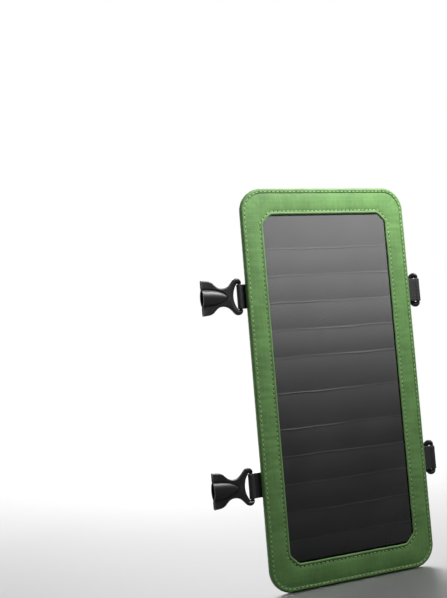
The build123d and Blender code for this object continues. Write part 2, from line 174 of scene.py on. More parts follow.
class Shade:
    """A node material under construction. Each method adds a node and returns the output to use."""

    def __init__(self, name):
        self.material = bpy.data.materials.new(name)
        self.material.use_nodes = True
        self.tree = self.material.node_tree
        self.tree.nodes.clear()
        self.end = self.tree.nodes.new("ShaderNodeOutputMaterial")

    def node(self, kind, **settings):
        made = self.tree.nodes.new("ShaderNode" + kind)
        for key, value in settings.items():
            setattr(made, key, value)
        return made

    def put(self, value, socket):
        if isinstance(value, bpy.types.NodeSocket):
            self.tree.links.new(value, socket)
        else:
            socket.default_value = value

    def place(self, scale=(1000, 1000, 1000), uv=None):
        """Position in millimetres, from the object's own axes or from a UV map that holds millimetres."""
        if uv:
            source = self.node("UVMap", uv_map=uv).outputs[0]
        else:
            source = self.node("TexCoord").outputs["Object"]
        mapping = self.node("Mapping")
        self.put(source, mapping.inputs["Vector"])
        mapping.inputs["Scale"].default_value = scale
        return mapping.outputs[0]

    def parts(self, vector):
        made = self.node("SeparateXYZ")
        self.put(vector, made.inputs[0])
        return made.outputs[0], made.outputs[1], made.outputs[2]

    def maths(self, operation, first, second=0.0, third=0.0):
        made = self.node("Math", operation=operation)
        for value, socket in zip((first, second, third), made.inputs):
            self.put(value, socket)
        return made.outputs[0]

    def noise(self, vector, scale, detail=2.0, rough=0.5):
        made = self.node("TexNoise")
        self.put(vector, made.inputs["Vector"])
        made.inputs["Scale"].default_value = scale
        made.inputs["Detail"].default_value = detail
        made.inputs["Roughness"].default_value = rough
        return made.outputs[0]

    def cells(self, vector, scale):
        made = self.node("TexVoronoi", feature="F1")
        self.put(vector, made.inputs["Vector"])
        made.inputs["Scale"].default_value = scale
        return made.outputs[0]

    def wave(self, value, pitch, phase=0.0):
        """0 to 1, once every pitch."""
        turn = self.maths("MULTIPLY_ADD", value, 6.2832 / pitch, phase)
        return self.maths("MULTIPLY_ADD", self.maths("SINE", turn), 0.5, 0.5)

    def line(self, value, pitch, share):
        """1 on a thin line at every pitch, and 0 between."""
        across = self.maths("PINGPONG", value, pitch / 2)
        return self.remap(across, pitch * share / 2, pitch * share, 1.0, 0.0)

    def remap(self, value, low, high, to_low=0.0, to_high=1.0):
        made = self.node("MapRange")
        for item, socket in zip((value, low, high, to_low, to_high), made.inputs):
            self.put(item, socket)
        return made.outputs[0]

    def mix(self, share, first, second):
        made = self.node("Mix", data_type="RGBA")
        self.put(share, made.inputs[0])
        self.put(first, made.inputs[6])
        self.put(second, made.inputs[7])
        return made.outputs[2]

    def bump(self, height, distance, strength=1.0, normal=None):
        made = self.node("Bump")
        made.inputs["Strength"].default_value = strength
        made.inputs["Distance"].default_value = distance * MM
        self.put(height, made.inputs["Height"])
        if normal is not None:
            self.put(normal, made.inputs["Normal"])
        return made.outputs[0]

    def principled(self, **inputs):
        made = self.node("BsdfPrincipled")
        for key, value in inputs.items():
            self.put(value, made.inputs[key.replace("_", " ")])
        self.put(made.outputs[0], self.end.inputs["Surface"])
        return made


def rgb(red, green, blue):
    return (red, green, blue, 1.0)


def scaled(colour, factor, more=0.0):
    """The colour made lighter or darker."""
    return rgb(*(min(1, part * factor + more) for part in colour))


def ripstop(name, colour, uv=None):
    """Nylon with a fine plain weave and a ripstop grid of thicker yarns about every 5 mm."""
    m = Shade(name)
    place = m.place(uv=uv, scale=(1, 1, 1) if uv else (1000, 1000, 1000))
    x, y, z = m.parts(place)
    across, up = (x, y) if uv else (x, z)
    wander = m.maths("MULTIPLY", m.noise(place, 0.05, 2), 2.0)
    across = m.maths("ADD", across, wander)
    up = m.maths("ADD", up, wander)
    yarns = m.maths("MULTIPLY", m.wave(across, 0.42), m.wave(up, 0.42, 1.6))
    grid = m.maths("MAXIMUM", m.line(across, 5.1, 0.045), m.line(up, 5.1, 0.045))
    cloudy = m.noise(place, 0.045, 4, 0.6)
    fine = m.noise(place, 1.4, 3)
    base = m.mix(m.remap(cloudy, 0.35, 0.65), scaled(colour, 0.86), scaled(colour, 1.13))
    base = m.mix(m.maths("MULTIPLY", grid, 0.22), base, scaled(colour, 1.6, 0.03))
    between_yarns = m.maths("MULTIPLY", m.remap(yarns, 0.0, 0.5, 1.0, 0.0), 0.16)
    base = m.mix(between_yarns, base, scaled(colour, 0.45))
    height = m.maths("ADD", m.maths("MULTIPLY", yarns, 0.5), m.maths("MULTIPLY", grid, 0.7))
    soft = m.bump(m.noise(place, 0.16, 3), 0.35, 0.5)
    normal = m.bump(height, 0.06, 0.55, soft)
    texture = m.maths("ADD", m.maths("MULTIPLY", fine, 0.5), m.maths("MULTIPLY", yarns, 0.3))
    rough = m.remap(texture, 0, 0.8, 0.62, 0.5)
    m.principled(Base_Color=base, Roughness=rough, Normal=normal, Specular_IOR_Level=0.25,
                 Sheen_Weight=0.08, Sheen_Roughness=0.4, Sheen_Tint=rgb(0.7, 0.9, 0.5))
    return m.material


def packcloth(name, colour):
    """Heavy black nylon, plain weave with a visible basket of yarns."""
    m = Shade(name)
    place = m.place()
    x, y, z = m.parts(place)
    yarns = m.maths("MULTIPLY", m.wave(x, 0.9), m.wave(z, 0.75, 0.8))
    slub = m.noise(m.place((250, 1000, 1400)), 0.6, 3)
    base = m.mix(m.remap(yarns, 0, 0.8), scaled(colour, 0.5), scaled(colour, 1.7))
    base = m.mix(m.remap(slub, 0.45, 0.8, 0, 0.5), base, scaled(colour, 2.3))
    soft = m.bump(m.noise(place, 0.09, 3), 0.6, 0.5)
    normal = m.bump(m.maths("ADD", yarns, m.maths("MULTIPLY", slub, 0.5)), 0.12, 0.7, soft)
    m.principled(Base_Color=base, Roughness=m.remap(yarns, 0, 1, 0.8, 0.62), Normal=normal,
                 Sheen_Weight=0.2, Sheen_Roughness=0.5, Sheen_Tint=rgb(0.5, 0.5, 0.55))
    return m.material


def webbing_material():
    """Nylon webbing: ribs along its length, tied in rows, and a firm selvage."""
    m = Shade("webbing_weave")
    place = m.place(uv="weave", scale=(1, 1, 1))
    along, across, z = m.parts(place)
    column = m.maths("FLOOR", m.maths("DIVIDE", across, 1.55))
    shift = m.maths("MULTIPLY", m.maths("MODULO", column, 2.0), 3.1416)
    turns = m.maths("ADD", m.maths("MULTIPLY", along, 6.2832 / 1.5), shift)
    rows = m.maths("MULTIPLY_ADD", m.maths("SINE", turns), 0.5, 0.5)
    ribs = m.maths("SINE", m.maths("MULTIPLY", m.maths("FRACT", m.maths("DIVIDE", across, 1.55)), 3.1416))
    weave = m.maths("MULTIPLY", m.maths("POWER", ribs, 0.6), m.maths("MULTIPLY_ADD", rows, 0.55, 0.45))
    fuzz = m.noise(m.place(uv="weave", scale=(2.5, 7, 1)), 1.2, 3)
    base = m.mix(m.remap(weave, 0.1, 0.95), rgb(0.004, 0.004, 0.0045), rgb(0.022, 0.0205, 0.0225))
    base = m.mix(m.remap(fuzz, 0.5, 0.8, 0, 0.5), base, rgb(0.042, 0.039, 0.043))
    normal = m.bump(m.maths("ADD", weave, m.maths("MULTIPLY", fuzz, 0.25)), 0.22, 0.8)
    m.principled(Base_Color=base, Roughness=m.remap(weave, 0, 1, 0.75, 0.52), Normal=normal,
                 Sheen_Weight=0.15, Sheen_Roughness=0.45, Sheen_Tint=rgb(0.8, 0.78, 0.85))
    return m.material


def thread(name, colour):
    """Twisted bonded thread."""
    m = Shade(name)
    place = m.place()
    x, y, z = m.parts(place)
    twist = m.wave(m.maths("ADD", m.maths("ADD", x, z), y), 0.32)
    base = m.mix(twist, scaled(colour, 0.55), rgb(*colour))
    faded = m.remap(m.noise(place, 0.2, 2), 0.4, 0.7, 0, 0.35)
    base = m.mix(faded, base, scaled(colour, 1.5))
    m.principled(Base_Color=base, Roughness=m.remap(twist, 0, 1, 0.6, 0.42), Normal=m.bump(twist, 0.05, 0.6),
                 Sheen_Weight=0.2, Sheen_Roughness=0.4)
    return m.material


def moulded(name, colour, grain, depth, rough, worn=0.05):
    """Moulded plastic with a fine grain, faint flow marks and slightly rubbed edges."""
    m = Shade(name)
    place = m.place()
    pits = m.noise(place, grain, 3, 0.6)
    flow = m.noise(m.place((300, 1000, 1000)), 0.07, 3)
    edges = m.remap(m.node("NewGeometry").outputs["Pointiness"], 0.52, 0.6)
    rub = m.maths("MULTIPLY", edges, m.remap(m.noise(place, 0.35, 4), 0.4, 0.7))
    base = m.mix(m.remap(flow, 0.35, 0.65), scaled(colour, 0.85), scaled(colour, 1.15))
    base = m.mix(rub, base, scaled(colour, 1.0, worn))
    flow_lines = m.remap(flow, 0.3, 0.7, rough - 0.04, rough + 0.05)
    roughness = m.maths("ADD", flow_lines, m.maths("MULTIPLY", pits, 0.06))
    normal = m.bump(pits, depth, 0.5)
    m.principled(Base_Color=base, Roughness=roughness, Normal=normal, Specular_IOR_Level=0.5)
    return m.material


def metal(name, colour, rough, brushed=(1000, 1000, 60), scratch=0.6):
    m = Shade(name)
    lines = m.noise(m.place(brushed), 1.2, 3)
    spots = m.noise(m.place(), 0.5, 3)
    base = m.mix(m.remap(spots, 0.35, 0.7), scaled(colour, 0.82), rgb(*colour))
    marks = m.maths("ADD", lines, m.maths("MULTIPLY", spots, 0.4))
    roughness = m.remap(marks, 0.4, 1.0, rough - 0.06, rough + 0.12)
    m.principled(Base_Color=base, Metallic=1.0, Roughness=roughness, Normal=m.bump(lines, 0.01, scratch))
    return m.material


def film_material():
    """Satin film with a light smoke tint and a soft reflection, and a painted shadow of the gap under the
    hem along three of its edges.
    """
    m = Shade("clear_film")
    place = m.place()
    haze = m.noise(place, 0.02, 3)
    normal = m.bump(m.noise(place, 0.03, 1), 0.02, 0.3)
    gloss = m.node("BsdfGlossy")
    m.put(m.remap(haze, 0.3, 0.7, 0.29, 0.33), gloss.inputs["Roughness"])
    m.put(normal, gloss.inputs["Normal"])
    clear = m.node("BsdfTransparent")
    x, y, z = m.parts(place)
    # Painted shadow: along the right, top and bottom edges, in a band about 1.5 to 2 mm wide, the clear
    # layer turns nearly black and the reflection is weakened. This stands in for the shade in the gap under
    # the hem.
    right_edge = m.maths("SUBTRACT", x, window_half[0] - 1.5)
    upper_edge = m.maths("SUBTRACT", z, window_half[1] - 1.7)
    lower_edge = m.maths("SUBTRACT", m.maths("MULTIPLY", z, -1.0), window_half[1] - 2.0)
    painted_gap_shadow = m.maths("MAXIMUM", right_edge, m.maths("MAXIMUM", upper_edge, lower_edge))
    tint = m.mix(m.remap(painted_gap_shadow, 0.0, 0.25), rgb(0.46, 0.465, 0.48), rgb(0.03, 0.035, 0.03))
    m.put(tint, clear.inputs["Color"])
    fresnel = m.node("Fresnel")
    fresnel.inputs["IOR"].default_value = 1.42
    m.put(normal, fresnel.inputs["Normal"])
    both = m.node("MixShader")
    m.put(m.maths("MULTIPLY", fresnel.outputs[0], m.remap(painted_gap_shadow, 0.0, 0.25, 1.0, 0.12)), both.inputs[0])
    m.put(clear.outputs[0], both.inputs[1])
    m.put(gloss.outputs[0], both.inputs[2])
    m.put(both.outputs[0], m.end.inputs["Surface"])
    return m.material


def see_through(name, tint, milky):
    """Clear filling between two layers, a little milky."""
    m = Shade(name)
    clear = m.node("BsdfTransparent")
    clear.inputs["Color"].default_value = rgb(*tint)
    dull = m.node("BsdfDiffuse")
    milk = m.mix(m.noise(m.place(), 0.02, 2), rgb(0.24, 0.24, 0.24), rgb(0.3, 0.3, 0.32))
    m.put(milk, dull.inputs["Color"])
    both = m.node("MixShader")
    m.put(m.remap(m.noise(m.place(), 0.03, 3), 0.3, 0.7, milky * 0.6, milky), both.inputs[0])
    m.put(clear.outputs[0], both.inputs[1])
    m.put(dull.outputs[0], both.inputs[2])
    m.put(both.outputs[0], m.end.inputs["Surface"])
    return m.material


def cell_material():
    """Thin-film cell, blue-black, with faint deposition streaks and a fine current grid."""
    m = Shade("thin_film_cell")
    place = m.place()
    x, y, z = m.parts(place)
    streaks = m.noise(m.place((30, 1000, 1000)), 0.05, 3)
    base = m.mix(m.remap(streaks, 0.35, 0.65), rgb(0.042, 0.05, 0.07), rgb(0.053, 0.062, 0.087))
    base = m.mix(m.maths("MULTIPLY", m.line(x, 1.9, 0.02), 0.1), base, rgb(0.1, 0.1, 0.11))
    roughness = m.remap(streaks, 0.3, 0.7, 0.4, 0.46)
    m.principled(Base_Color=base, Roughness=roughness, Specular_IOR_Level=0.1)
    return m.material


def patterned(name, first, second, scale, rough=(0.5, 0.7), depth=0.05, **more):
    """A plain moulded or cast surface with a mottled colour and a fine bump."""
    m = Shade(name)
    place = m.place()
    spots = m.noise(place, scale, 3)
    base = m.mix(m.remap(spots, 0.35, 0.65), rgb(*first), rgb(*second))
    roughness = m.remap(spots, 0.3, 0.7, *rough)
    m.principled(Base_Color=base, Roughness=roughness, Normal=m.bump(spots, depth, 0.6), **more)
    return m.material


def circuit_material():
    """Green solder mask with copper tracks under it."""
    m = Shade("solder_mask")
    place = m.place()
    x, y, z = m.parts(place)
    slanted = m.maths("ADD", z, m.maths("MULTIPLY", x, 0.5))
    tracks = m.maths("MAXIMUM", m.line(x, 2.54, 0.12), m.line(slanted, 3.6, 0.09))
    tracks = m.maths("MULTIPLY", tracks, m.remap(m.noise(place, 0.12, 1), 0.48, 0.52))
    base = m.mix(tracks, rgb(0.012, 0.1, 0.035), rgb(0.03, 0.2, 0.07))
    m.principled(Base_Color=base, Roughness=0.3, Normal=m.bump(tracks, 0.04, 0.5), Coat_Weight=0.4)
    return m.material


def foam_material():
    m = Shade("closed_cell_foam")
    bubbles = m.cells(m.place(), 1.6)
    base = m.mix(bubbles, rgb(0.03, 0.03, 0.03), rgb(0.09, 0.09, 0.09))
    m.principled(Base_Color=base, Roughness=0.9, Normal=m.bump(bubbles, 0.2, 0.8))
    return m.material


green = (0.118, 0.242, 0.076)
border_cloth = ripstop("green_ripstop", green)
binding_cloth = ripstop("green_binding_tape", tuple(c * 0.93 for c in green), uv="weave")
green_thread = thread("green_thread", (0.36, 0.52, 0.25))
black_thread = thread("black_thread", (0.04, 0.04, 0.042))
back_cloth = packcloth("black_packcloth", (0.014, 0.014, 0.0155))
web_cloth = webbing_material()
clear_film = film_material()
# Painted shade: a near-black colour for the insides of the needle holes.
painted_hole_shade = patterned("needle_hole", (0.004, 0.008, 0.003), (0.008, 0.014, 0.005), 2.0, rough=(0.85, 0.95))

finishes = {
    "buckle_socket": moulded("moulded_acetal", (0.0125, 0.0125, 0.0132), 3.5, 0.02, 0.36),
    "box_base": moulded("spark_textured_box", (0.016, 0.016, 0.0168), 2.2, 0.05, 0.5),
    "box_gasket": patterned("silicone_gasket", (0.012, 0.012, 0.012), (0.022, 0.022, 0.022),
                            0.8, rough=(0.6, 0.75)),
    "box_screws": metal("black_screw", (0.05, 0.05, 0.052), 0.34, (1000, 1000, 1000)),
    "regulator_board": circuit_material(),
    "regulator_chip": patterned("chip_epoxy", (0.012, 0.012, 0.013), (0.02, 0.02, 0.021),
                                3.0, rough=(0.5, 0.62)),
    "inductor": patterned("ferrite", (0.05, 0.05, 0.053), (0.1, 0.1, 0.1), 1.8, rough=(0.6, 0.8)),
    "capacitors": metal("capacitor_can", (0.72, 0.72, 0.74), 0.28, (1000, 60, 1000)),
    "blocking_diode": patterned("diode_epoxy", (0.01, 0.01, 0.01), (0.018, 0.018, 0.018),
                                2.5, rough=(0.45, 0.6)),
    "indicator_led": patterned("led_lens", (0.6, 0.68, 0.6), (0.78, 0.85, 0.78),
                               2.0, rough=(0.12, 0.2), depth=0.01),
    "light_pipe": patterned("frosted_acrylic", (0.5, 0.53, 0.5), (0.68, 0.7, 0.68),
                            1.2, rough=(0.22, 0.34), depth=0.01,
                            Coat_Weight=0.5),
    "usb_shell": metal("nickel_shell", (0.66, 0.65, 0.63), 0.24),
    "usb_tongue": patterned("usb_plastic", (0.62, 0.62, 0.6), (0.72, 0.72, 0.7),
                            1.6, rough=(0.4, 0.5), depth=0.02),
    "usb_contacts": metal("gold_contact", (0.83, 0.62, 0.26), 0.22),
    "positive_lead": patterned("red_insulation", (0.38, 0.02, 0.014), (0.46, 0.03, 0.02),
                               1.5, rough=(0.35, 0.45)),
    "negative_lead": patterned("black_insulation", (0.012, 0.012, 0.012), (0.02, 0.02, 0.02),
                               1.5, rough=(0.35, 0.45)),
    "lead_grommet": patterned("grommet_rubber", (0.012, 0.012, 0.012), (0.022, 0.022, 0.022),
                              1.0, rough=(0.6, 0.75)),
    "stiffener_board": patterned("board_plastic", (0.02, 0.02, 0.02), (0.03, 0.03, 0.03),
                                 0.5, rough=(0.5, 0.65)),
    "back_sheet": patterned("laminate_back_sheet", (0.016, 0.016, 0.02), (0.024, 0.024, 0.028),
                            0.3, rough=(0.4, 0.55)),
    "rear_encapsulant": see_through("rear_filling", (0.8, 0.8, 0.8), 0.15),
    "front_encapsulant": see_through("front_filling", (0.97, 0.97, 0.98), 0.012),
    "cell_strip": cell_material(),
    "cell_links": patterned("printed_link", (0.09, 0.09, 0.1), (0.14, 0.14, 0.15),
                            2.5, rough=(0.4, 0.55), depth=0.01),
    "positive_ribbon": metal("tinned_ribbon", (0.62, 0.6, 0.57), 0.3, (60, 1000, 1000)),
    "front_padding": foam_material(),
}
same = {
    "box_lid": "box_base",
    "negative_ribbon": "positive_ribbon",
    "rear_padding": "front_padding",
}
for name, node in nodes.items():
    key = same.get(name) or next((k for k in finishes if name.startswith(k)), None)
    if key:
        node.data.materials.clear()
        node.data.materials.append(finishes[key])

# ---------------------------------------------------------------- outlines

rim_corners = [(half_width * x, half_height * z) for x, z in ((1, -1), (1, 1), (-1, 1), (-1, -1))]
rim_points, rim_normals = outline(rim_corners, [corner] * 4, 0.96, 41)

w, h = window_half
c = window_chamfer
window_corners = [
    (w, -h + c), (w, h - c), (w - c, h), (-w + c, h),
    (-w, h - c), (-w, -h + c), (-w + c, -h), (w - c, -h),
]
window_points, window_normals = outline(window_corners, [2.0] * 8, 0.96, 9)

rim_seam = rim_points - rim_normals * rim_stitch
window_seam = window_points + window_normals * window_stitch


def spaced(points, normals, pitch):
    """Even places along a closed outline: point, direction, outward normal."""
    along, total = lengths(points)
    count = round(total / pitch)
    where = (np.arange(count) + 0.5) * total / count
    closed = np.vstack([points, points[:1]])
    outward = np.vstack([normals, normals[:1]])
    marks = np.append(along, total)
    spots = np.stack([np.interp(where, marks, closed[:, k]) for k in (0, 1)], 1)
    facing = np.stack([np.interp(where, marks, outward[:, k]) for k in (0, 1)], 1)
    facing /= np.linalg.norm(facing, axis=1)[:, None]
    return spots, np.stack([-facing[:, 1], facing[:, 0]], 1), facing, where, total


def dimples(place, total, away, reach, depth):
    """How far the thread pulls the cloth down: most in the middle of each stitch's hole."""
    count = round(total / stitch_pitch)
    turn = 2 * np.pi * place * count / total
    return depth * np.exp(-(away / reach) ** 2) * (0.55 + 0.45 * np.cos(turn))


# ---------------------------------------------------------------- border fabric

def border_height(points):
    """Height of the border fabric's outer face between the binding and the hem's stitches."""
    to_rim, rim_place = nearest(points, rim_seam)
    to_window, window_place = nearest(points, window_seam)
    rim_total, window_total = lengths(rim_seam)[1], lengths(window_seam)[1]
    share = to_rim / (to_rim + to_window)
    crown = (4 * share * (1 - share)) ** 0.62
    value = 5.15 + 0.82 * crown
    value += 0.10 * crown * ripple(window_place, window_total, (37, 61, 23), 3)
    near_window = np.exp(-to_window / 4.2)
    near_rim = np.exp(-to_rim / 4.2)
    window_pucker = ripple(window_place, window_total, (9.7, 14.3, 7.1), 5)
    rim_pucker = ripple(rim_place, rim_total, (10.3, 13.1, 7.9), 7)
    value += 0.13 * near_window * (1 - near_window) * 4 * window_pucker
    value += 0.13 * near_rim * (1 - near_rim) * 4 * rim_pucker
    value -= dimples(window_place, window_total, to_window, 1.15, 0.22)
    return value


rim_total = lengths(rim_seam)[1]
window_total = lengths(window_seam)[1]
side_columns = {"z": 350, "x": 138}


def border_columns():
    """Matching points on the seam by the binding and on the hem's seam, all the way round."""
    rim_line, window_line, window_facing = [], [], []
    for k in range(4):
        sign = [(1, 1), (-1, 1), (-1, -1), (1, -1)][k]
        count = side_columns["z" if k % 2 == 0 else "x"]
        share = (np.arange(count) / count)[:, None]
        ends_rim = {
            0: ((half_width, -half_height + corner), (half_width, half_height - corner)),
            1: ((half_width - corner, half_height), (-half_width + corner, half_height)),
            2: ((-half_width, half_height - corner), (-half_width, -half_height + corner)),
            3: ((-half_width + corner, -half_height), (half_width - corner, -half_height)),
        }[k]
        ends_window = {
            0: ((w, -h + c), (w, h - c)),
            1: ((w - c, h), (-w + c, h)),
            2: ((-w, h - c), (-w, -h + c)),
            3: ((-w + c, -h), (w - c, -h)),
        }[k]
        facing = np.array([(1, 0), (0, 1), (-1, 0), (0, -1)][k], float)
        a, b = (np.array(p, float) for p in ends_rim)
        rim_line.append(a + (b - a) * share - facing * rim_inset)
        a, b = (np.array(p, float) for p in ends_window)
        inset = 1.2 * (b - a) / np.linalg.norm(b - a)
        window_line.append(a + inset + (b - a - 2 * inset) * share)
        window_facing.append(np.repeat(facing[None], count, 0))
        steps = 30
        turn = np.linspace(0, np.pi / 2, steps + 1)[:-1]
        start = np.arctan2(facing[1], facing[0])
        centre = np.array(((half_width - corner) * sign[0], (half_height - corner) * sign[1]))
        arc = np.stack([np.cos(start + turn), np.sin(start + turn)], 1)
        rim_line.append(centre + arc * (corner - rim_inset))
        after = np.array([(0, 1), (-1, 0), (0, -1), (1, 0)][k], float)
        first = np.array(ends_window[1], float)
        second = {0: (w - c, h), 1: (-w, h - c), 2: (-w + c, -h), 3: (w, -h + c)}[k]
        second = np.array(second, float)
        slant = (facing + after) / np.sqrt(2)
        t = np.arange(steps) / steps
        blend_in = np.clip(t / 0.2, 0, 1)[:, None]
        blend_out = np.clip((t - 0.8) / 0.2, 0, 1)[:, None]
        direction = facing * (1 - blend_in) + slant * blend_in
        direction = direction * (1 - blend_out) + after * blend_out
        direction /= np.linalg.norm(direction, axis=1)[:, None]
        back_along = np.array(ends_window[0]) - first
        inset_in = 1.2 * back_along / np.linalg.norm(back_along)
        next_end = {0: (-w + c, h), 1: (-w, -h + c), 2: (w - c, -h), 3: (w, h - c)}[k]
        on_along = np.array(next_end, float) - second
        inset_out = 1.2 * on_along / np.linalg.norm(on_along)
        chamfer = second - first
        cut = 0.12  # share of the slant that each of its ends gives to the turn
        knots = [first + inset_in, first + chamfer * cut, second - chamfer * cut, second + inset_out]
        knots = np.stack(knots)
        line = np.stack([np.interp(t, (0, 0.2, 0.8, 1), knots[:, k2]) for k2 in (0, 1)], 1)
        window_line.append(line)
        window_facing.append(direction)
    return np.vstack(rim_line), np.vstack(window_line), np.vstack(window_facing)


rim_line, window_line, window_facing = border_columns()
columns = len(rim_line)
hem_line = window_line + window_facing * window_stitch

rows = []
for share in np.concatenate([[0, 0.06, 0.12], np.linspace(0.18, 0.9, 12), [0.95, 1.0]]):
    flat = rim_line * (1 - share) + hem_line * share
    rows.append(np.column_stack([flat[:, 0], -border_height(flat), flat[:, 1]]))
lip_wave = ripple(nearest(hem_line, window_seam)[1], window_total, (31, 17, 47), 9)
lip = (  # distance out from the window, height: up from the stitches, over the fold and back under it
    (2.9, 5.2), (2.4, 5.5), (1.7, 5.72), (1.0, 5.7), (0.45, 5.48),
    (0.12, 5.1), (0.0, 4.78), (0.25, 4.5), (0.9, 4.38), (2.2, 4.36),
)
for out, height in lip:
    flat = window_line + window_facing * (out + 0.16 * lip_wave[:, None] * (1 - out / 4))
    lift = height + (0.10 * lip_wave if height > 4.8 else 0)
    rows.append(np.column_stack([flat[:, 0], -(lift + np.zeros(columns)), flat[:, 1]]))
border_points = np.vstack(rows)
border_quads = grid_faces(len(rows), columns, wrap_columns=True)
border = mesh_object("border_fabric", border_points, border_quads, border_cloth)
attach(border, "panel")
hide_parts("front_border")

# ---------------------------------------------------------------- binding tape

profile = np.array((  # distance in from the panel's side, height: front edge, round the rim, back edge
    (4.8, 5.0), (4.92, 5.5), (4.82, 5.84), (4.5, 6.02), (4.1, 6.04), (3.7, 5.98), (3.25, 6.1),
    (2.75, 6.25), (2.25, 6.26), (1.75, 6.16), (1.2, 5.9), (0.7, 5.45), (0.32, 4.85), (0.1, 4.25),
    (0.0, 3.55), (-0.02, 2.9), (0.0, 2.2), (0.12, 1.5), (0.38, 0.85), (0.85, 0.3), (1.45, -0.12),
    (2.1, -0.36), (2.8, -0.44), (3.3, -0.4), (3.7, -0.32), (4.1, -0.4), (4.5, -0.42),
    (4.75, -0.28), (4.82, 0.0), (4.7, 0.2),
))
rim_along, rim_length = lengths(rim_points)
seam_along = nearest(rim_seam, rim_seam)[1]
travelled = np.concatenate([[0], np.cumsum(np.linalg.norm(np.diff(profile, axis=0), axis=1))])
bend = ripple(rim_along, rim_length, (43, 71), 21)
crimp = ripple(rim_along, rim_length, (6.1, 8.3), 23)
binding_points, binding_uv = [], []
for (inward, height), length in zip(profile, travelled):
    front = height > 2.9
    away = np.full(len(rim_points), abs(inward - rim_stitch))
    on_a_face = height > 5 or height < 0.5
    by_the_seam = abs(inward - rim_stitch) < 2
    pull = dimples(seam_along, rim_total, away, 0.8, 0.2) if by_the_seam and on_a_face else 0
    edge = max(0.0, (inward - 3.8) / 1.0)
    drift = 0.12 * bend * edge + 0.05 * crimp * edge
    swell = 0.05 * crimp * (1 if inward < 3.6 else 0.3) + 0.05 * bend
    rise = height + (swell - pull if front else -swell + pull)
    flat = rim_points - rim_normals * (inward + drift - 0.04 * crimp * (inward < 1))[:, None]
    binding_points.append(np.column_stack([flat[:, 0], -(rise + np.zeros(len(flat))), flat[:, 1]]))
    binding_uv.append(np.column_stack([rim_along, np.full(len(flat), length)]))
binding_quads = grid_faces(len(profile), len(rim_points), wrap_columns=True)
binding = mesh_object("binding_tape", np.vstack(binding_points), binding_quads, binding_cloth,
                      uv=np.vstack(binding_uv))
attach(binding, "panel")
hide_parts("edge_binding")

# ---------------------------------------------------------------- stitches

def stitches(name, spots, tangents, heights, material, length=3.6, radius=0.4, facing=1.0, sink=0.5):
    """One row of stitches. Each is a short bow of thread whose two ends go down into the cloth."""
    rings, sides = 7, 6
    t = np.linspace(-1, 1, rings)
    angle = np.linspace(0, 2 * np.pi, sides, endpoint=False)
    points, faces = [], []
    ring_quads = np.array(grid_faces(rings, sides, wrap_columns=True))
    for k in range(len(spots)):
        tangent = tangents[k]
        side = np.array((-tangent[1], tangent[0]))
        size = radius * (1 - 0.35 * np.abs(t) ** 3) * (1 + 0.06 * np.sin(k * 1.7))
        lean = 0.12 * np.sin(k * 2.3 + 0.7)
        middle = spots[k] + np.outer(t * length / 2, tangent) + np.outer(t * lean, side)
        lift = heights[k] + facing * (0.12 - sink * np.abs(t) ** 4)
        for i in range(rings):
            around = middle[i] + np.outer(np.cos(angle) * size[i], side)
            up = lift[i] + np.sin(angle) * size[i] * 0.85 * facing
            points.append(np.column_stack([around[:, 0], -up, around[:, 1]]))
        first = k * rings * sides
        faces += (ring_quads + first).tolist()
        faces.append([first + j for j in range(sides)])
        faces.append([first + (rings - 1) * sides + j for j in reversed(range(sides))])
    return mesh_object(name, np.vstack(points), faces, material)


def holes(name, spots, tangents, heights, material, facing=1.0):
    """Needle holes between the stitches, each a small pit drawn out along the row and painted near-black as
    the shade inside the hole.
    """
    sides = 8
    angle = np.linspace(0, 2 * np.pi, sides, endpoint=False)
    points, faces = [], []
    for k in range(len(spots)):
        side = np.array((-tangents[k][1], tangents[k][0]))
        for size, drop in ((1.0, 0.05), (0.7, 0.0), (0.3, -0.06)):
            lengthways = np.outer(np.cos(angle) * 0.72 * size, tangents[k])
            around = spots[k] + lengthways + np.outer(np.sin(angle) * 0.58 * size, side)
            level = np.full(sides, -(heights[k] + facing * drop))
            points.append(np.column_stack([around[:, 0], level, around[:, 1]]))
        first = k * 3 * sides
        faces += (np.array(grid_faces(3, sides, wrap_columns=True)) + first).tolist()
        faces.append([first + 2 * sides + j for j in range(sides)])
    return mesh_object(name, np.vstack(points), faces, material)


def seam_row(name, points, normals, height, thread_material, facing=1.0):
    spots, tangents, outward, where, total = spaced(points, normals, stitch_pitch)
    row = stitches(name, spots, tangents, np.full(len(spots), height), thread_material, facing=facing)
    half = total / len(spots) / 2
    marks, closed = np.append(lengths(points)[0], total), np.vstack([points, points[:1]])
    between = np.stack([np.interp((where + half) % total, marks, closed[:, k]) for k in (0, 1)], 1)
    pits = holes(name + "_holes", between, tangents, np.full(len(spots), height), painted_hole_shade, facing=facing)
    for piece in (row, pits):
        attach(piece, "panel")
    return row, pits


rim_row, rim_holes = seam_row("binding_stitches", rim_seam, rim_normals, 5.9, green_thread)
window_row, window_holes = seam_row("hem_stitches", window_seam, window_normals, 5.16, green_thread)
back_row, back_holes = seam_row("binding_stitches_back", rim_seam, rim_normals, -0.3, green_thread,
                                facing=-1.0)

# ---------------------------------------------------------------- window film

strip_edges = [limits(f"cell_strip_{row:02d}")[1][2] for row in range(1, 13)]
strip_edges.append(limits("cell_strip_12")[0][2])
edges = np.array(strip_edges)

film_x = np.arange(film_low[0], film_high[0] + 0.1, 2.5)
fine_rows = [edge + np.linspace(-2.4, 1.2, 13) for edge in edges[1:-1]]
film_z = np.unique(np.concatenate([np.arange(film_low[2], film_high[2], 2.0)] + fine_rows))
grid_x, grid_z = np.meshgrid(film_x, film_z)


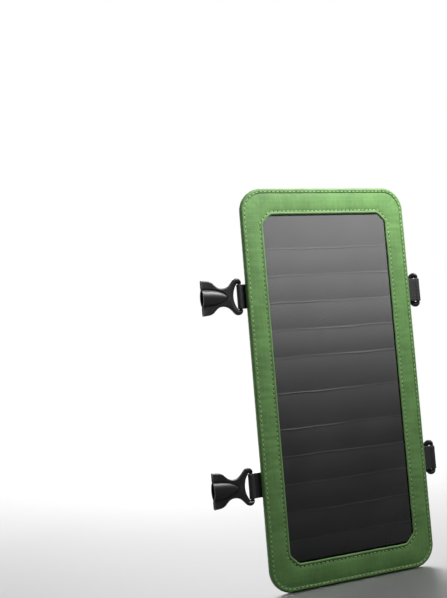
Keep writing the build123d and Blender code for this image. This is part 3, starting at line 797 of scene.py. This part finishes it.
def film_surface(x, z):
    """The film bulges a little over each strip and makes a thin, slightly wavy ridge at each strip's top."""
    value = np.zeros_like(x)
    for k in range(len(edges) - 1):
        top, bottom = edges[k], edges[k + 1]
        middle, half = (top + bottom) / 2, (top - bottom) / 2
        inside = (z <= top) & (z > bottom)
        shape = 1 - np.clip(np.abs(z - middle) / half, 0, 1) ** 2
        value = np.where(inside, value + 0.11 * shape, value)
    for k, top in enumerate(edges[1:-1]):
        source = np.random.default_rng(50 + k)
        line = top - 0.6 + 0.5 * np.sin(x / source.uniform(18, 30) + source.uniform(0, 6))
        line = line + 0.22 * np.sin(x / 7.3 + source.uniform(0, 6))
        strength = 0.75 + 0.35 * np.sin(x / source.uniform(25, 40) + source.uniform(0, 6))
        value += 0.06 * strength * np.exp(-((z - line) / 0.75) ** 2)
    return value


swell = film_surface(grid_x, grid_z)
film_points = np.column_stack([grid_x.ravel(), -(film_height + swell.ravel() - 0.04), grid_z.ravel()])
film = mesh_object("window_film", film_points, grid_faces(len(film_z), len(film_x)), clear_film)
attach(film, "panel")
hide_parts("front_film")

# ---------------------------------------------------------------- back cover

back_x = np.linspace(-half_width + last_inset, half_width - last_inset, 86)
back_z = np.linspace(-half_height + last_inset, half_height - last_inset, 180)
gx, gz = np.meshgrid(back_x, back_z)
flat = np.column_stack([gx.ravel(), gz.ravel()])
radius = corner - last_inset
straight = np.array((half_width - corner, half_height - corner))
core = np.clip(flat, -straight, straight)
out = flat - core
size = np.linalg.norm(out, axis=1)
too_far = size > radius
flat[too_far] = core[too_far] + out[too_far] * (radius / size[too_far])[:, None]
inward, place = nearest(flat, rim_seam)
wobble = np.zeros(len(flat))
swells = ((0.031, 0.017, 0.4), (-0.022, 0.041, 2.1), (0.047, -0.029, 4.0), (0.013, 0.061, 1.2))
for fx, fz, phase in swells:
    wobble += np.sin(flat[:, 0] * fx * 2 + flat[:, 1] * fz * 2 + phase) / 4
pucker = np.exp(-inward / 5) * ripple(place, rim_total, (9, 13), 31)
back_y = -0.12 + 0.1 * wobble + 0.1 * pucker - 0.1 * np.exp(-inward / 2.5)
cover = mesh_object("back_fabric", np.column_stack([flat[:, 0], back_y, flat[:, 1]]),
                    [f[::-1] for f in grid_faces(len(back_z), len(back_x))], back_cloth)
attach(cover, "panel")
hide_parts("back_cover")

# ---------------------------------------------------------------- webbing tabs

def smooth_line(points, step):
    """A Catmull-Rom curve through the points, evenly spaced."""
    p = np.vstack([2 * points[0] - points[1], points, 2 * points[-1] - points[-2]])
    dense = []
    for i in range(1, len(p) - 2):
        for t in np.linspace(0, 1, 24, endpoint=False):
            first = (p[i + 1] - p[i - 1]) * t
            second = (2 * p[i - 1] - 5 * p[i] + 4 * p[i + 1] - p[i + 2]) * t ** 2
            third = (3 * p[i] - p[i - 1] - 3 * p[i + 1] + p[i + 2]) * t ** 3
            dense.append(0.5 * (2 * p[i] + first + second + third))
    dense.append(p[-2])
    dense = np.array(dense)
    run = np.concatenate([[0], np.cumsum(np.linalg.norm(np.diff(dense, axis=0), axis=1))])
    where = np.linspace(0, run[-1], max(3, round(run[-1] / step)))
    return np.stack([np.interp(where, run, dense[:, k]) for k in (0, 1)], 1), where


bar_behind = 1.7  # the bar's middle, behind the back cover's outer face
thick = 1.2
loop = 1.88 + thick / 2  # from the bar's middle to the webbing's middle layer
outer_loop = 3.08
selvage_half = 0.42  # half the thickness of the woven edge

for level, side in ((a, b) for a in ("upper", "lower") for b in ("left", "right")):
    tab = f"webbing_tab_{level}_{side}"
    low, high = limits(tab)
    direction = -1 if side == "left" else 1
    bar_x = (low[0] + outer_loop) if side == "left" else (high[0] - outer_loop)
    middle = (low[2] + high[2]) / 2
    inner = abs(bar_x - (high[0] if side == "left" else low[0]))
    arc = np.radians(np.linspace(-138, 138, 20))
    eye = np.stack([loop * np.cos(arc), loop * np.sin(arc)], 1)
    path = np.vstack([
        (-inner, -0.88), (-inner * 0.8, -0.84), (-inner * 0.5, -0.66),
        (-8.5, -0.6), (-5.2, -0.62), (-3.7, -0.64), (-2.75, -0.88),
        eye,
        (-2.75, 0.88), (-3.7, 0.64), (-5.2, 0.62), (-8.5, 0.6),
        (-inner * 0.5, 0.56), (-inner * 0.8, 0.38), (-inner + 1.6, 0.34),
    ])
    line, run = smooth_line(path, 0.7)
    heading = np.gradient(line, axis=0)
    heading /= np.linalg.norm(heading, axis=1)[:, None]
    normal = np.stack([-heading[:, 1], heading[:, 0]], 1)
    half_web = (high[2] - low[2]) / 2
    lanes = np.linspace(-half_web + 0.5, half_web - 0.5, 17)
    selvage = [(selvage_half, half_web - 0.12), (0.0, half_web), (-selvage_half, half_web - 0.12)]
    section = [(thick / 2, z) for z in lanes] + selvage
    section += [(-thick / 2, z) for z in lanes[::-1]] + [(-offset, -z) for offset, z in selvage]
    source = np.random.default_rng(300 + int(bar_x))
    wave = 0.12 * np.sin(run / 6.1 + source.uniform(0, 6))
    points, uv = [], []
    for i in range(len(line)):
        for offset, z in section:
            u, v = line[i] + normal[i] * (offset * 0.98)
            points.append((bar_x + direction * u, bar_behind + v, middle + z + wave[i]))
            uv.append((run[i], z + (0 if offset > 0 else 0.78)))
    faces = grid_faces(len(line), len(section), wrap_columns=True)
    faces.append(list(range(len(section))))
    faces.append([(len(line) - 1) * len(section) + j for j in reversed(range(len(section)))])
    if side == "right":
        faces = [f[::-1] for f in faces]
    web = mesh_object(f"webbing_loop_{level}_{side}", points, faces, web_cloth, uv=uv)
    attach(web, "panel")
    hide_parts(tab)

    # Box stitch with a cross, in black thread, on the sewn end
    left, right = sorted((bar_x - direction * (inner - 3.2), bar_x - direction * (inner - 21)))
    bottom, top = middle - half_web + 2.2, middle + half_web - 2.2
    corners = [
        (left, bottom), (right, bottom), (right, top), (left, top),
        (left, bottom), (right, top), (right, bottom), (left, top),
    ]
    spots, tangents = [], []
    for a, b in zip(corners[:-1], corners[1:]):
        a, b = np.array(a), np.array(b)
        if a[0] == b[0] == right and (a[1] - b[1]) > 0:
            continue
        distance = np.linalg.norm(b - a)
        count = round(distance / 3.2)
        for k in range(count):
            spots.append(a + (b - a) * (k + 0.5) / count)
            tangents.append((b - a) / distance)
    spots, tangents = np.array(spots), np.array(tangents)
    from_bar = np.abs(spots[:, 0] - bar_x)
    layer = np.interp(from_bar, (0, inner * 0.5, inner * 0.8, inner), (0.6, 0.56, 0.38, 0.34))
    depth = layer + bar_behind + thick / 2
    cross = stitches(f"box_stitch_{level}_{side}", spots, tangents, -depth, black_thread,
                     length=2.7, radius=0.26, facing=-1.0)
    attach(cross, "panel")

# ---------------------------------------------------------------- stage, light and camera

floor_level = cad_low[2] - 0.0002
floor_mesh = bpy.data.meshes.new("floor")
floor_corners = [(x, y, floor_level) for x, y in ((-4, -4), (4, -4), (4, 4), (-4, 4))]
floor_mesh.from_pydata(floor_corners, [], [(0, 1, 2, 3)])
floor = bpy.data.objects.new("floor", floor_mesh)
bpy.context.scene.collection.objects.link(floor)
m = Shade("floor_paper")
paper = m.noise(m.place(), 0.004, 3)
seen = m.node("LightPath").outputs["Is Camera Ray"]
pale = m.mix(paper, rgb(0.8, 0.8, 0.8), rgb(0.84, 0.84, 0.84))
m.principled(Base_Color=m.mix(seen, rgb(0.6, 0.6, 0.62), pale), Roughness=0.6, Specular_IOR_Level=0.2)
sheet_end = m.node("MixShader")
x, y, z = m.parts(m.place((1, 1, 1)))
reach = m.maths("SQRT", m.maths("ADD", m.maths("MULTIPLY", x, x), m.maths("MULTIPLY", y, y)))
m.put(m.remap(reach, 0.5, 1.5), sheet_end.inputs[0])
m.put(m.end.inputs["Surface"].links[0].from_socket, sheet_end.inputs[1])
m.put(m.node("BsdfTransparent").outputs[0], sheet_end.inputs[2])
m.put(sheet_end.outputs[0], m.end.inputs["Surface"])
floor_mesh.materials.append(m.material)
floor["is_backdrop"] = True


# Distances in metres, powers in watts
def area_light(name, place, target, size, power, tall=None):
    """A soft light that the camera doesn't see."""
    data = bpy.data.lights.new(name, "AREA")
    data.shape = "RECTANGLE"
    data.size, data.size_y = size, tall or size
    data.energy = power
    made = bpy.data.objects.new(name, data)
    made.location = place
    made.rotation_euler = (Vector(target) - Vector(place)).to_track_quat("-Z", "Y").to_euler()
    made.visible_camera = False
    bpy.context.scene.collection.objects.link(made)
    return made


# The key lights everything but the floor, and the softbox is seen in the window alone
near_the_top = area_light("key", (0.13, -0.22, 0.48), (0.02, 0.04, 0.18), 0.34, 5.6, tall=0.2)
all_but_floor = bpy.data.collections.new("all_but_floor")
all_but_floor.objects.link(floor)
near_the_top.light_linking.receiver_collection = all_but_floor
all_but_floor.collection_objects[0].light_linking.link_state = "EXCLUDE"

reflected = area_light("softbox", (1.5, -2.2, 1.06), (0, 0, 0.1), 1.8, 132.0, tall=1.9)
window_alone = bpy.data.collections.new("window_alone")
window_alone.objects.link(film)
reflected.light_linking.receiver_collection = window_alone
area_light("behind", (0.5, 1.3, 0.9), (0.15, 0.55, -0.2), 1.0, 24.0)

# A studio that is white behind the object and dimmer in front of it
world = bpy.data.worlds.new("studio")
world.use_nodes = True
tree = world.node_tree
direction = tree.nodes.new("ShaderNodeTexCoord").outputs["Generated"]
split = tree.nodes.new("ShaderNodeSeparateXYZ")
tree.links.new(direction, split.inputs[0])
front_to_back = tree.nodes.new("ShaderNodeMapRange")
tree.links.new(split.outputs[1], front_to_back.inputs[0])
for socket, value in zip(front_to_back.inputs[1:], (-0.4, 0.35, 0.05, 1.0)):
    socket.default_value = value
overhead = tree.nodes.new("ShaderNodeMapRange")
tree.links.new(split.outputs[2], overhead.inputs[0])
for socket, value in zip(overhead.inputs[1:], (0.42, 0.75, 1.0, 0.3)):
    socket.default_value = value
strength = tree.nodes.new("ShaderNodeMath")
strength.operation = "MULTIPLY"
tree.links.new(front_to_back.outputs[0], strength.inputs[0])
tree.links.new(overhead.outputs[0], strength.inputs[1])
background = tree.nodes["Background"]
background.inputs[0].default_value = rgb(1.0, 1.0, 1.0)
seen = tree.nodes.new("ShaderNodeLightPath").outputs["Is Camera Ray"]
backdrop = tree.nodes.new("ShaderNodeMath")
backdrop.operation = "MAXIMUM"
tree.links.new(strength.outputs[0], backdrop.inputs[0])
tree.links.new(seen, backdrop.inputs[1])
tree.links.new(backdrop.outputs[0], background.inputs[1])
bpy.context.scene.world = world
bpy.context.scene.view_settings.view_transform = "Standard"

camera_data = bpy.data.cameras.new("camera")
camera_data.lens = 54.18  # millimetres, on the 36 mm side of the picture
camera = bpy.data.objects.new("camera", camera_data)
right = Vector((0.9179, -0.3886, -0.0807)).normalized()
ahead = Vector((0.3935, 0.9175, 0.0578))
ahead = (ahead - right * ahead.dot(right)).normalized()
upward = right.cross(ahead)
camera.matrix_world = Matrix((
    (right.x, upward.x, -ahead.x, -0.4792),
    (right.y, upward.y, -ahead.y, -0.8320),
    (right.z, upward.z, -ahead.z, 0.0416),
    (0, 0, 0, 1),
))
bpy.context.scene.collection.objects.link(camera)
bpy.context.scene.camera = camera

low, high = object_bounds()
